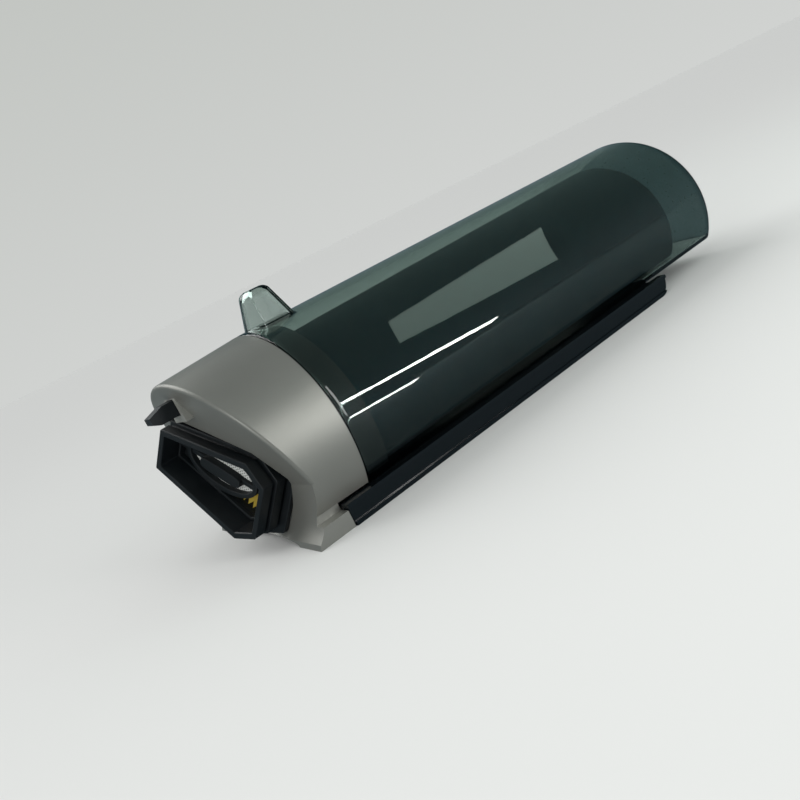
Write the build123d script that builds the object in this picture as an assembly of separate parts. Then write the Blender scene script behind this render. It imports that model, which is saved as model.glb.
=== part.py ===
"""Dirty water tank of a cordless floor scrubber, with its lid and outlet filter.

The tank lies on the two rails of its back, fin up. X runs along the tank from the lid to the
closed end, Y across it, Z up from the surface it lies on. Sizes are in millimetres.
"""
import os
from math import atan, cos, degrees, radians, sin

from build123d import *

# Tank shell, an ellipse cut flat along its back
TANK_LENGTH = 240.0
TANK_HALF_WIDTH = 48.0
TANK_HALF_HEIGHT = 44.8
TANK_AXIS_Z = 28.7
TANK_DRAFT = 1.35
TANK_WALL = 2.5
TANK_END_WALL = 3.0
TANK_END_ROUND = 5.0
BACK_Z = 8.5
CUT_OVERRUN = 1.0

# Thumb fin on the crown of the tank
FIN_FRONT_X = 4.5
FIN_BACK_X = 23.0
FIN_HALF_WIDTH = 11.8
FIN_TOP_Z = 87.2
FIN_TOP_FRONT_X = 8.8
FIN_TOP_BACK_X = 18.4
FIN_TOP_HALF_WIDTH = 4.6
FIN_WALL = 2.0
FIN_BOW = 4.0
FIN_TOP_BOW = 1.2
FIN_ROUND = 1.4

# Back cover with its two rails
RAIL_FRONT_X = -14.0
RAIL_BACK_X = 186.0
RAIL_INSET = 0.4
RAIL_OUTER_Y = TANK_HALF_WIDTH - RAIL_INSET
RAIL_WIDTH = 4.6
RAIL_LIP = 0.9
RAIL_LIP_HEIGHT = 1.6
RAIL_END_ROUND = 7.0
COVER_THICKNESS = 2.0

# Suction inlet in the closed end, its riser pipe and deflector
INLET_RADIUS = 8.5
INLET_Z = 30.0
RISER_WALL = 1.6
RISER_TOP_X = 62.0
DEFLECTOR_GAP = 9.0
DEFLECTOR_WINDOW_WIDTH = 12.2
DEFLECTOR_RADIUS = 14.0
DEFLECTOR_THICKNESS = 1.8
DEFLECTOR_RIM = 5.0
DEFLECTOR_SLEEVE = 12.0
DEFLECTOR_FIT = 0.1
INLET_SEAL_WIDTH = 3.0
INLET_SEAL_DEPTH = 1.5
SEAL_FIT = 0.1

# Lid shell: a tapered hood cut by a leaning face that flares forward to a lip between two feet
LID_GAP = 0.8
LID_TAPER = 0.055
LID_WALL = 2.4
LID_FLOOR = 1.7
LID_EDGE_ROUND = 1.2
FACE_FOOT_X = -14.5
FACE_LEAN = 0.33
LIP_X = -30.0
LIP_THICKNESS = 1.4
FLARE_TOP_Z = 21.0
FLARE_MIDDLE_X = -23.4
FLARE_MIDDLE_Z = 10.0
FOOT_HEIGHT = 6.4
FOOT_INSET = 1.1
FOOT_OUTER_Y = TANK_HALF_WIDTH - FOOT_INSET
FOOT_SLANT = 2.6
ARCH_HALF_WIDTH = 30.0
ARCH_HEIGHT = 2.6

# Collar that plugs the lid into the tank mouth, its floor and screws
COLLAR_CLEARANCE = 0.4
COLLAR_WALL = 2.0
COLLAR_LID_DEPTH = 7.0
COLLAR_TANK_DEPTH = 11.0
COLLAR_FLOOR = 2.0
OUTLET_RADIUS = 9.0
OUTLET_Z = 50.0
SCREW_RADIUS = 1.4
SCREW_HEAD_RADIUS = 2.7
SCREW_HEAD = 1.6
SCREW_LENGTH = 8.0
SCREW_SPREAD_Y = 33.0
SCREW_LOW_Z = 17.0
SCREW_HIGH_Z = 42.0
SCREW_FIT = 0.1
POST_RADIUS = 3.2
POST_REACH = 32.0

# Float that shuts the outlet when the tank is full
FLOAT_RADIUS = 10.5
FLOAT_LENGTH = 13.0
FLOAT_TRAVEL = 9.0
FLOAT_GAP = 0.5
CAGE_WALL = 1.5
CAGE_RIBS = 4
CAGE_RIB_WIDTH = 4.0
CAGE_WINDOW_WIDTH = 12.1
CAGE_END = 1.6

# Outlet port: a six-sided rubber boot, turned and leaning on the lid's front wall
PORT_CENTRE = (-37.5, -3.7, 28.5)
PORT_YAW = 20.0
PORT_LIFT = 15.0
PORT_ROLL = 36.0
PORT_NARROW_END = 34.6
PORT_NARROW_HALF = 8.6
PORT_WIDE_AT = 12.1
PORT_WIDE_HALF = 15.7
PORT_WIDE_END = 22.4
PORT_END_HALF = 10.4
BOOT_WALL = 2.4
BOOT_STEP = 4.0
BOOT_BACK_STEP = 0.8
BOOT_GROOVE = 1.2
BOOT_GROOVE_DEPTH = 1.1
BOOT_FLANGE = 2.2
BOOT_FLANGE_WIDTH = 3.6
DUCT_WALL = 1.4
DUCT_LENGTH = 12.0
DUCT_FIT = 0.1
SEAT_DEPTH = 3.0
SEAT_CLEARANCE = 0.3
SEAT_HEIGHT = 16.0

# Filter cassette that pulls out through the boot
FILTER_CLEARANCE = 0.35
GRILLE_RECESS = 9.5
GRILLE_THICKNESS = 2.0
GRILLE_RIM = 2.4
GRILLE_BAR = 2.0
GRILLE_RING_LENGTH = 13.5
GRILLE_RING_HEIGHT = 9.0
GRILLE_RING_AT = 2.0
PULL_BAR_WIDTH = 5.0
PULL_BAR_HEIGHT = 2.0
MESH_THICKNESS = 0.5
CASSETTE_WALL = 1.2
CASSETTE_DEPTH = 10.0
CASSETTE_SEAL = 1.2
PLEAT_PITCH = 3.2
PLEAT_HEIGHT = 6.0
PLEAT_PAPER = 0.7

# Latch bolt in the crown of the lid, its guide and spring
LATCH_DROP = 12.0
LATCH_Z = TANK_AXIS_Z + TANK_HALF_HEIGHT - LATCH_DROP
LATCH_HALF_WIDTH = 3.4
LATCH_HEIGHT = 6.0
LATCH_REACH = 10.5
LATCH_COLLAR = 1.0
LATCH_COLLAR_LENGTH = 3.0
LATCH_TRAVEL = 4.5
LATCH_FIT = 0.3
GUIDE_PROUD = 1.205
GUIDE_FRONT_X = FACE_FOOT_X - FACE_LEAN * LATCH_Z - GUIDE_PROUD
LATCH_TIP_X = GUIDE_FRONT_X - LATCH_REACH
GUIDE_LENGTH = 15.0
GUIDE_WALL = 1.6
SPRING_RADIUS = 2.0
SPRING_WIRE = 0.4
SPRING_TURNS = 5


def section_plane(x):
    """Plane across the tank at x, with its own X along Y and its own Y along Z."""
    return Plane(origin=(x, 0, 0), x_dir=(0, 1, 0), z_dir=(1, 0, 0))


def d_face(x, half_width, half_height, flat_z):
    """Face of the ellipse at x, cut flat at flat_z."""
    ellipse = Pos(0, TANK_AXIS_Z) * Ellipse(half_width, half_height)
    below = Pos(0, flat_z - TANK_HALF_WIDTH) * Rectangle(4 * TANK_HALF_WIDTH, 2 * TANK_HALF_WIDTH)
    return section_plane(x) * (ellipse - below)


def d_loft(x_start, x_end, inset, slope, flat_z):
    """Solid between two such faces, whose half sizes shrink by slope for each millimetre of |x|."""
    faces = []
    for x in (x_start, x_end):
        less = inset + slope * abs(x)
        faces.append(d_face(x, TANK_HALF_WIDTH - less, TANK_HALF_HEIGHT - less, flat_z))
    return loft(faces)


def leaning_cut(foot_x, lean):
    """Half space in front of the plane that passes foot_x at the ground and leans forward."""
    size = 4 * TANK_LENGTH
    angle = degrees(atan(lean))
    block = Pos(-size / 2, 0, 0) * Box(size, size, size)
    return Pos(foot_x, 0, 0) * Rot(0, -angle, 0) * block


def prism(face, x_length):
    """Face of a section plane carried along X."""
    return extrude(face, amount=x_length, dir=(1, 0, 0))


def port_plane():
    yaw, lift, roll = (radians(a) for a in (PORT_YAW, PORT_LIFT, PORT_ROLL))
    normal = Vector(-cos(yaw) * cos(lift), -sin(yaw) * cos(lift), sin(lift))
    level = Vector(sin(yaw), -cos(yaw), 0)
    upright = normal.cross(level)
    along = level * cos(roll) - upright * sin(roll)
    return Plane(origin=PORT_CENTRE, x_dir=along, z_dir=normal)


PORT = port_plane()


def port_outline(grow):
    """Six-sided outline of the mouth, grown outward by grow."""
    points = [
        (-PORT_NARROW_END, -PORT_NARROW_HALF),
        (PORT_WIDE_AT, -PORT_WIDE_HALF),
        (PORT_WIDE_END, -PORT_END_HALF),
        (PORT_WIDE_END, PORT_END_HALF),
        (PORT_WIDE_AT, PORT_WIDE_HALF),
        (-PORT_NARROW_END, PORT_NARROW_HALF),
    ]
    outline = Polygon(*points, align=None)
    if grow:
        outline = offset(outline, amount=grow, kind=Kind.INTERSECTION)
    return outline


def carried(sketch, low, high):
    """Sketch of the mouth's plane, carried along X from -high to -low behind the mouth."""
    return extrude(Pos(-high, 0, 0) * PORT.location * sketch, amount=high - low, dir=(1, 0, 0))


def port_prism(grow, low, high):
    """Prism of the outline along X, with its ends parallel to the slanting mouth."""
    return carried(port_outline(grow), low, high)


def port_ring(outer, inner, low, high):
    return port_prism(outer, low, high) - port_prism(inner, low, high)


TANK_SLOPE = TANK_DRAFT / TANK_LENGTH
BOOT_DEPTH = 2 * (BOOT_STEP + BOOT_GROOVE) + BOOT_FLANGE
BOOT_INNER = -BOOT_WALL
FILTER_OUTER = BOOT_INNER - FILTER_CLEARANCE
COLLAR_INSET = TANK_WALL + COLLAR_CLEARANCE
COLLAR_BACK_X = COLLAR_TANK_DEPTH
FLOAT_CLOSED_X = COLLAR_BACK_X + FLOAT_GAP


def make_tank_shell():
    body = d_loft(0, TANK_LENGTH, 0, TANK_SLOPE, BACK_Z)
    body = fillet(body.edges().group_by(Axis.X)[-1], TANK_END_ROUND)
    hollow = d_loft(0, TANK_LENGTH - TANK_END_WALL, TANK_WALL, TANK_SLOPE, BACK_Z + TANK_WALL)
    root_z = TANK_AXIS_Z + TANK_HALF_HEIGHT - 3 * TANK_WALL
    fin = fin_loft(0, root_z)
    fin = fillet(fin.edges().group_by(Axis.Z)[-1], FIN_ROUND)
    inlet = Pos(TANK_LENGTH, 0, INLET_Z) * Rot(0, 90, 0) * Cylinder(INLET_RADIUS, 4 * TANK_END_WALL)
    seat = Pos(TANK_LENGTH, 0, INLET_Z) * Rot(0, 90, 0) * Cylinder(
        INLET_RADIUS + INLET_SEAL_WIDTH, 2 * INLET_SEAL_DEPTH)
    return body + fin - fin_loft(FIN_WALL, root_z) - hollow - inlet - seat


def fin_face(front_x, back_x, half_width, bow, z):
    """Section of the fin at z: flat sides and back, and a front that bows out."""
    corner_x = front_x + bow
    front = ThreePointArc((corner_x, half_width), (front_x, 0), (corner_x, -half_width))
    rest = Polyline((corner_x, -half_width), (back_x, -half_width), (back_x, half_width), (corner_x, half_width))
    return Pos(0, 0, z) * make_face([front, *rest.edges()])


def fin_loft(inset, root_z):
    """Wedge of the fin, or of its hollow when inset is the fin's wall."""
    base = fin_face(FIN_FRONT_X + inset, FIN_BACK_X - inset, FIN_HALF_WIDTH - inset, FIN_BOW, root_z)
    top = fin_face(FIN_TOP_FRONT_X + inset, FIN_TOP_BACK_X - inset, FIN_TOP_HALF_WIDTH - inset,
                   FIN_TOP_BOW, FIN_TOP_Z - inset)
    return loft([base, top])


def make_back_cover():
    length = RAIL_BACK_X - RAIL_FRONT_X
    plate_front = LID_GAP
    plate_length = RAIL_BACK_X - RAIL_END_ROUND - plate_front
    inner_y = RAIL_OUTER_Y - RAIL_WIDTH
    plate = Pos(plate_front + plate_length / 2, 0, BACK_Z - COVER_THICKNESS / 2) * Box(
        plate_length, 2 * inner_y + RAIL_WIDTH, COVER_THICKNESS)
    cover = plate
    for side in (-1, 1):
        rail = Pos(RAIL_FRONT_X + length / 2, side * (inner_y + RAIL_WIDTH / 2), BACK_Z / 2) * Box(
            length, RAIL_WIDTH, BACK_Z)
        far_edges = rail.edges().filter_by(Axis.Y).group_by(Axis.X)[-1]
        rail = fillet(far_edges.sort_by(Axis.Z)[0], RAIL_END_ROUND)
        outer = side * (RAIL_OUTER_Y - RAIL_LIP / 2)
        groove = Pos(RAIL_FRONT_X + length / 2, outer, RAIL_LIP_HEIGHT + (BACK_Z - 2 * RAIL_LIP_HEIGHT) / 2)
        rail = rail - groove * Box(length + 2 * CUT_OVERRUN, RAIL_LIP, BACK_Z - 2 * RAIL_LIP_HEIGHT)
        cover = cover + rail
    return cover


def make_inlet_seal():
    depth = INLET_SEAL_DEPTH
    ring = Cylinder(INLET_RADIUS + INLET_SEAL_WIDTH - SEAL_FIT, depth) - Cylinder(INLET_RADIUS, depth)
    return Pos(TANK_LENGTH - depth / 2, 0, INLET_Z) * Rot(0, 90, 0) * ring


def make_riser_pipe():
    outer = INLET_RADIUS + RISER_WALL
    length = TANK_LENGTH - TANK_END_WALL - RISER_TOP_X
    tube = Cylinder(outer, length) - Cylinder(INLET_RADIUS, length)
    return Pos(RISER_TOP_X + length / 2, 0, INLET_Z) * Rot(0, 90, 0) * tube


def make_deflector():
    """Cap over the mouth of the riser, on a sleeve that leaves four windows."""
    outer = INLET_RADIUS + RISER_WALL + DEFLECTOR_FIT
    sleeve_outer = outer + DEFLECTOR_THICKNESS
    length = DEFLECTOR_SLEEVE + DEFLECTOR_GAP
    sleeve = Cylinder(sleeve_outer, length) - Cylinder(outer, length)
    window = Pos(0, 0, -length / 2 + DEFLECTOR_GAP / 2) * Box(
        4 * sleeve_outer, DEFLECTOR_WINDOW_WIDTH, DEFLECTOR_GAP)
    sleeve = sleeve - window - Rot(0, 0, 90) * window
    cap = Pos(0, 0, -length / 2 - DEFLECTOR_THICKNESS / 2) * Cylinder(DEFLECTOR_RADIUS, DEFLECTOR_THICKNESS)
    rim = Cylinder(DEFLECTOR_RADIUS, DEFLECTOR_RIM) - Cylinder(
        DEFLECTOR_RADIUS - DEFLECTOR_THICKNESS, DEFLECTOR_RIM)
    rim = Pos(0, 0, -length / 2 + DEFLECTOR_RIM / 2) * rim
    return Pos(RISER_TOP_X + DEFLECTOR_SLEEVE - length / 2, 0, INLET_Z) * Rot(0, 90, 0) * (sleeve + cap + rim)


def lid_loft(inset, x_front, x_back, flat_z):
    return d_loft(x_front, x_back, inset, LID_TAPER, flat_z)


def make_lid_shell():
    front_x = FACE_FOOT_X - FACE_LEAN * (TANK_AXIS_Z + TANK_HALF_HEIGHT) - 2 * LID_WALL
    flat_z = BACK_Z + LID_GAP
    cover = lid_loft(0, front_x, -LID_GAP, flat_z)
    shell = cover - leaning_cut(FACE_FOOT_X, FACE_LEAN)
    rim = shell.edges().filter_by(GeomType.LINE, reverse=True).sort_by(Axis.X)[0]
    shell = fillet(rim, LID_EDGE_ROUND)
    shell = shell + make_flare(cover)
    hollow = lid_loft(LID_WALL, front_x - CUT_OVERRUN, 0, flat_z + LID_FLOOR)
    wall_shift = LID_WALL / cos(atan(FACE_LEAN))
    cavity = hollow - leaning_cut(FACE_FOOT_X + wall_shift, FACE_LEAN)
    flange = BOOT_FLANGE_WIDTH + SEAT_CLEARANCE
    seat = port_prism(flange, -BOOT_DEPTH - SEAT_DEPTH, -BOOT_DEPTH) & cover
    shell = shell - cavity + seat
    for place in screw_places():
        reach = POST_REACH + COLLAR_BACK_X
        post = place * Pos(0, 0, COLLAR_FLOOR + reach / 2) * Cylinder(POST_RADIUS, reach)
        pilot = place * Pos(0, 0, SCREW_LENGTH / 2) * Cylinder(SCREW_RADIUS + SCREW_FIT, SCREW_LENGTH)
        shell = shell + (post - leaning_cut(FACE_FOOT_X, FACE_LEAN)) - pilot
    shell = shell - port_prism(flange, -BOOT_DEPTH, SEAT_HEIGHT)
    shell = shell - port_prism(BOOT_INNER + DUCT_WALL + DUCT_FIT, -BOOT_DEPTH - DUCT_LENGTH, 0)
    return shell - guide_block(0)


def make_flare(cover):
    """Foot of the lid's face, which curves forward to a thin lip, with a foot at each side."""
    back_x = RAIL_FRONT_X - LID_GAP / 2
    top_x = FACE_FOOT_X - FACE_LEAN * FLARE_TOP_Z
    curve = Spline((top_x, FLARE_TOP_Z), (FLARE_MIDDLE_X, FLARE_MIDDLE_Z), (LIP_X, LIP_THICKNESS),
                   tangents=[(-FACE_LEAN / 4, -1), (-1.5, -1)])
    rest = Polyline((LIP_X, LIP_THICKNESS), (LIP_X, 0), (back_x, 0), (back_x, FLARE_TOP_Z), (top_x, FLARE_TOP_Z))
    profile = make_face([curve.edge(), *rest.edges()])
    flare = extrude(Plane.XZ * profile, amount=TANK_HALF_WIDTH, both=True)
    depth = back_x - LIP_X
    middle = (back_x + LIP_X) / 2
    neck_z = BACK_Z + LID_GAP
    neck_half = TANK_HALF_WIDTH * (1 - ((TANK_AXIS_Z - neck_z) / TANK_HALF_HEIGHT) ** 2) ** 0.5
    neck = Pos(middle, 0, neck_z / 2) * Box(depth, 2 * (neck_half - LID_TAPER * abs(LIP_X)), neck_z)
    feet = Pos(middle, 0, FOOT_HEIGHT / 2) * Box(depth, 2 * FOOT_OUTER_Y, FOOT_HEIGHT)
    slant = Plane.XZ * Polygon((LIP_X, 0), (LIP_X, FOOT_HEIGHT), (LIP_X + FOOT_SLANT, FOOT_HEIGHT), align=None)
    flare = flare & (cover + neck + feet)
    flare = flare - extrude(slant, amount=TANK_HALF_WIDTH, both=True)
    arch = section_plane(LIP_X - CUT_OVERRUN) * Ellipse(ARCH_HALF_WIDTH, ARCH_HEIGHT)
    return flare - prism(arch, TANK_HALF_WIDTH)


def make_lid_seal():
    outer = d_face(-LID_GAP, TANK_HALF_WIDTH - LID_GAP, TANK_HALF_HEIGHT - LID_GAP, BACK_Z + 2 * LID_GAP)
    less = COLLAR_INSET - SEAL_FIT
    inner = d_face(-LID_GAP, TANK_HALF_WIDTH - less, TANK_HALF_HEIGHT - less, BACK_Z + less)
    return prism(outer, LID_GAP) - prism(inner, LID_GAP)


def collar_prism(inset, x_start, x_end):
    less = COLLAR_INSET + inset
    face = d_face(x_start, TANK_HALF_WIDTH - less, TANK_HALF_HEIGHT - less, BACK_Z + less)
    return prism(face, x_end - x_start)


def make_lid_collar():
    collar = collar_prism(0, -COLLAR_LID_DEPTH, COLLAR_BACK_X)
    collar = collar - collar_prism(COLLAR_WALL, -COLLAR_LID_DEPTH, COLLAR_BACK_X - COLLAR_FLOOR)
    outlet = Pos(COLLAR_BACK_X, 0, OUTLET_Z) * Rot(0, 90, 0) * Cylinder(OUTLET_RADIUS, 4 * COLLAR_FLOOR)
    collar = collar - outlet
    for place in screw_places():
        collar = collar - place * Cylinder(SCREW_RADIUS + SCREW_FIT, 4 * COLLAR_FLOOR)
    return collar


def screw_places():
    """Frames of the screw heads on the collar's floor, with Z towards the lid."""
    spots = [(side * SCREW_SPREAD_Y, z) for side in (-1, 1) for z in (SCREW_LOW_Z, SCREW_HIGH_Z)]
    return [Pos(COLLAR_BACK_X, y, z) * Rot(0, -90, 0) for y, z in spots]


def make_collar_screws():
    head = Pos(0, 0, -SCREW_HEAD / 2) * Cylinder(SCREW_HEAD_RADIUS, SCREW_HEAD)
    shank = Pos(0, 0, SCREW_LENGTH / 2) * Cylinder(SCREW_RADIUS, SCREW_LENGTH)
    return Compound(children=[place * (head + shank) for place in screw_places()])


def make_float_cage():
    inner = FLOAT_RADIUS + FLOAT_GAP
    outer = inner + CAGE_WALL
    length = FLOAT_GAP + FLOAT_TRAVEL + FLOAT_LENGTH + FLOAT_GAP + CAGE_END
    cage = Cylinder(outer, length) - Pos(0, 0, -CAGE_END / 2) * Cylinder(inner, length - CAGE_END)
    window_length = length - 2 * CAGE_END - CAGE_RIB_WIDTH
    for index in range(CAGE_RIBS):
        turn = Rot(0, 0, (index + 0.5) * 360 / CAGE_RIBS)
        cage = cage - turn * Pos(outer, 0, 0) * Box(2 * CAGE_WALL + outer / 2, CAGE_WINDOW_WIDTH, window_length)
    cage = cage - Cylinder(inner / 2, 2 * length)
    return Pos(COLLAR_BACK_X + length / 2, 0, OUTLET_Z) * Rot(0, 90, 0) * cage


def make_float_body():
    body = Cylinder(FLOAT_RADIUS, FLOAT_LENGTH)
    body = fillet(body.edges(), FLOAT_RADIUS / 5)
    middle = FLOAT_CLOSED_X + FLOAT_TRAVEL + FLOAT_LENGTH / 2
    return Pos(middle, 0, OUTLET_Z) * Rot(0, 90, 0) * body


def make_port_boot():
    """Stepped rubber boot: two collars, two grooves and the flange on the lid."""
    low = -BOOT_DEPTH
    boot = port_ring(BOOT_FLANGE_WIDTH, BOOT_INNER, low, low + BOOT_FLANGE)
    low = low + BOOT_FLANGE
    for outer in (BOOT_BACK_STEP, 0):
        boot = boot + port_ring(-BOOT_GROOVE_DEPTH, BOOT_INNER, low, low + BOOT_GROOVE)
        boot = boot + port_ring(outer, BOOT_INNER, low + BOOT_GROOVE, low + BOOT_GROOVE + BOOT_STEP)
        low = low + BOOT_GROOVE + BOOT_STEP
    return boot


def make_port_duct():
    return port_ring(BOOT_INNER + DUCT_WALL, BOOT_INNER, -BOOT_DEPTH - DUCT_LENGTH, -BOOT_DEPTH)


def make_filter_grille():
    """Rim, oval ring, bars from ring to rim, and a bar across the ring to pull by."""
    low = -GRILLE_RECESS - GRILLE_THICKNESS
    high = -GRILLE_RECESS
    rim = port_outline(FILTER_OUTER) - port_outline(FILTER_OUTER - GRILLE_RIM)
    oval = Pos(GRILLE_RING_AT, 0) * Ellipse(GRILLE_RING_LENGTH, GRILLE_RING_HEIGHT)
    hole = Pos(GRILLE_RING_AT, 0) * Ellipse(GRILLE_RING_LENGTH - GRILLE_BAR, GRILLE_RING_HEIGHT - GRILLE_BAR)
    bars = Rectangle(4 * PORT_NARROW_END, GRILLE_BAR)
    bars = bars + Pos(GRILLE_RING_AT, 0) * Rectangle(GRILLE_BAR, 4 * PORT_WIDE_HALF)
    bars = (bars & port_outline(FILTER_OUTER - GRILLE_RIM / 2)) + oval - hole
    pull = Pos(GRILLE_RING_AT, 0) * SlotOverall(2 * GRILLE_RING_LENGTH - GRILLE_BAR, PULL_BAR_WIDTH)
    return carried(rim + bars, low, high) + carried(pull, low, high + PULL_BAR_HEIGHT)


def make_filter_mesh():
    low = -GRILLE_RECESS - GRILLE_THICKNESS - MESH_THICKNESS
    return port_prism(FILTER_OUTER - CASSETTE_WALL - FILTER_CLEARANCE, low, low + MESH_THICKNESS)


def make_filter_tray():
    high = -GRILLE_RECESS - GRILLE_THICKNESS
    return port_ring(FILTER_OUTER, FILTER_OUTER - CASSETTE_WALL, high - CASSETTE_DEPTH, high)


def make_filter_seal():
    low = -GRILLE_RECESS - GRILLE_THICKNESS - CASSETTE_DEPTH - CASSETTE_SEAL
    return port_ring(FILTER_OUTER, FILTER_OUTER - 2 * CASSETTE_WALL, low, low + CASSETTE_SEAL)


def make_filter_pleats():
    """Folded paper: one zigzag sheet, cut to the tray."""
    top = -GRILLE_RECESS - GRILLE_THICKNESS - MESH_THICKNESS
    count = int((PORT_NARROW_END + PORT_WIDE_END) / PLEAT_PITCH) + 2
    start = -PORT_NARROW_END - PLEAT_PITCH
    upper = []
    for index in range(2 * count + 1):
        height = 0 if index % 2 else -PLEAT_HEIGHT
        upper.append((start + index * PLEAT_PITCH / 2, height))
    lower = [(x, y - 2 * PLEAT_PAPER) for x, y in reversed(upper)]
    sheet = extrude(Plane.XZ * Polygon(*upper, *lower, align=None), amount=2 * PORT_WIDE_HALF, both=True)
    sheet = Pos(-top, 0, 0) * PORT.location * sheet
    inside = port_prism(FILTER_OUTER - CASSETTE_WALL - FILTER_CLEARANCE, top - CASSETTE_DEPTH, top)
    return sheet & inside


def guide_block(inset):
    """Block of the latch guide, or of its bore when inset is the guide's wall."""
    half_y = LATCH_HALF_WIDTH + LATCH_COLLAR + LATCH_FIT + GUIDE_WALL - inset
    half_z = LATCH_HEIGHT / 2 + LATCH_COLLAR + LATCH_FIT + GUIDE_WALL - inset
    middle = GUIDE_FRONT_X + GUIDE_LENGTH / 2
    return Pos(middle, 0, LATCH_Z) * Box(GUIDE_LENGTH - 2 * inset, 2 * half_y, 2 * half_z)


def make_latch_guide():
    """Pale guide round the bolt's collar, open at its front for the nose only."""
    opening = Pos(GUIDE_FRONT_X, 0, LATCH_Z) * Box(
        4 * GUIDE_WALL, 2 * (LATCH_HALF_WIDTH + LATCH_FIT), LATCH_HEIGHT + 2 * LATCH_FIT)
    return guide_block(0) - guide_block(GUIDE_WALL) - opening


def make_latch_bolt():
    """Wedge-nosed bolt that stands out of the hood and presses in against its spring."""
    half = LATCH_HEIGHT / 2
    nose = LATCH_TIP_X + LATCH_HEIGHT
    collar_x = GUIDE_FRONT_X + GUIDE_WALL
    side = Polygon((collar_x, -half), (LATCH_TIP_X + half, -half), (LATCH_TIP_X, -half / 2),
                   (LATCH_TIP_X, half / 3), (nose, half), (collar_x, half), align=None)
    bolt = extrude(Plane.XZ * side, amount=LATCH_HALF_WIDTH, both=True)
    bolt = bolt + Pos(collar_x + LATCH_COLLAR_LENGTH / 2, 0, 0) * Box(
        LATCH_COLLAR_LENGTH, 2 * (LATCH_HALF_WIDTH + LATCH_COLLAR), LATCH_HEIGHT + 2 * LATCH_COLLAR)
    return Pos(0, 0, LATCH_Z) * bolt


def make_latch_spring():
    front_x = GUIDE_FRONT_X + GUIDE_WALL + LATCH_COLLAR_LENGTH
    back_x = GUIDE_FRONT_X + GUIDE_LENGTH - GUIDE_WALL
    length = back_x - front_x - 2 * SPRING_WIRE
    path = Helix(pitch=length / SPRING_TURNS, height=length, radius=SPRING_RADIUS)
    coil = sweep(Plane(path @ 0, z_dir=path % 0) * Circle(SPRING_WIRE), path=path)
    return Pos(front_x + SPRING_WIRE, 0, LATCH_Z) * Rot(0, 90, 0) * coil


MAKERS = {
    "tank_shell": make_tank_shell,
    "back_cover": make_back_cover,
    "inlet_seal": make_inlet_seal,
    "riser_pipe": make_riser_pipe,
    "riser_deflector": make_deflector,
    "lid_shell": make_lid_shell,
    "lid_seal": make_lid_seal,
    "lid_collar": make_lid_collar,
    "collar_screws": make_collar_screws,
    "float_cage": make_float_cage,
    "float_body": make_float_body,
    "port_boot": make_port_boot,
    "port_duct": make_port_duct,
    "filter_grille": make_filter_grille,
    "filter_mesh": make_filter_mesh,
    "filter_tray": make_filter_tray,
    "filter_pleats": make_filter_pleats,
    "filter_seal": make_filter_seal,
    "latch_bolt": make_latch_bolt,
    "latch_guide": make_latch_guide,
    "latch_spring": make_latch_spring,
}

os.makedirs("parts", exist_ok=True)
# The origin lies midway between the latch's tip and the closed end, on the surface
CENTRE_X = (TANK_LENGTH + LATCH_TIP_X) / 2
for name, make in MAKERS.items():
    export_step(Pos(-CENTRE_X, 0, 0) * make(), f"parts/{name}.step")
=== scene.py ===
# Dirty water tank of a cordless floor scrubber, lying on the rails of its back with its lid on.
import math

import bpy
from mathutils import Matrix, Vector


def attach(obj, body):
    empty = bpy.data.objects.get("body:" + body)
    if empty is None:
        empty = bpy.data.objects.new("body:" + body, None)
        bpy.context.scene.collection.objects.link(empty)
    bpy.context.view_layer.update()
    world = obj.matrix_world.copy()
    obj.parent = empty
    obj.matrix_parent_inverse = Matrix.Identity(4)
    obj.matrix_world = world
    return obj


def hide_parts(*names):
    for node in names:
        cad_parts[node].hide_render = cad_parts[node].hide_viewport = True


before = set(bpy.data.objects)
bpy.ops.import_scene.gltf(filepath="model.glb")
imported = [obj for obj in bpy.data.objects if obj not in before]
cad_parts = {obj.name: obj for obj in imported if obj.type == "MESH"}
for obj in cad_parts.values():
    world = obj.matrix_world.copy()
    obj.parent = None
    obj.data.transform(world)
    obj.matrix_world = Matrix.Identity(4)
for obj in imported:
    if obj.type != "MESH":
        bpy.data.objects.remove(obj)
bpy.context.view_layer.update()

# Tank: one moulding of smoked clear plastic, 2.5 mm thick and polished inside and out. Its mouth
# takes the lid's collar, and its closed end has a round seat and a bore for the suction inlet.
JOINT_X = -0.09675
TANK_LENGTH = 0.240
TANK_HALF_WIDTH = 0.048
TANK_HALF_HEIGHT = 0.0448
TANK_AXIS_Z = 0.0287
TANK_SLOPE = 0.00135 / 0.240
TANK_WALL = 0.0025
TANK_FLAT_Z = 0.0085
TANK_END_ROUND = 0.005
TANK_END_WALL = 0.003
RIM_LENGTH = 0.0022
RIM_ROUND = 0.0005
INLET_Z = 0.030
INLET_RADIUS = 0.0085
SEAT_RADIUS = 0.0115
SEAT_DEPTH = 0.0015
ARC_STEPS = 180
CORNER_STEPS = 6
FLAT_STEPS = 24
CORNER_REACH = 0.0012
RIM_STEPS = 8
END_STEPS = 12
TANK_STATIONS = (0.02, 0.08, 0.16, 0.22)
SHARP_ANGLE = math.radians(32)


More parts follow.
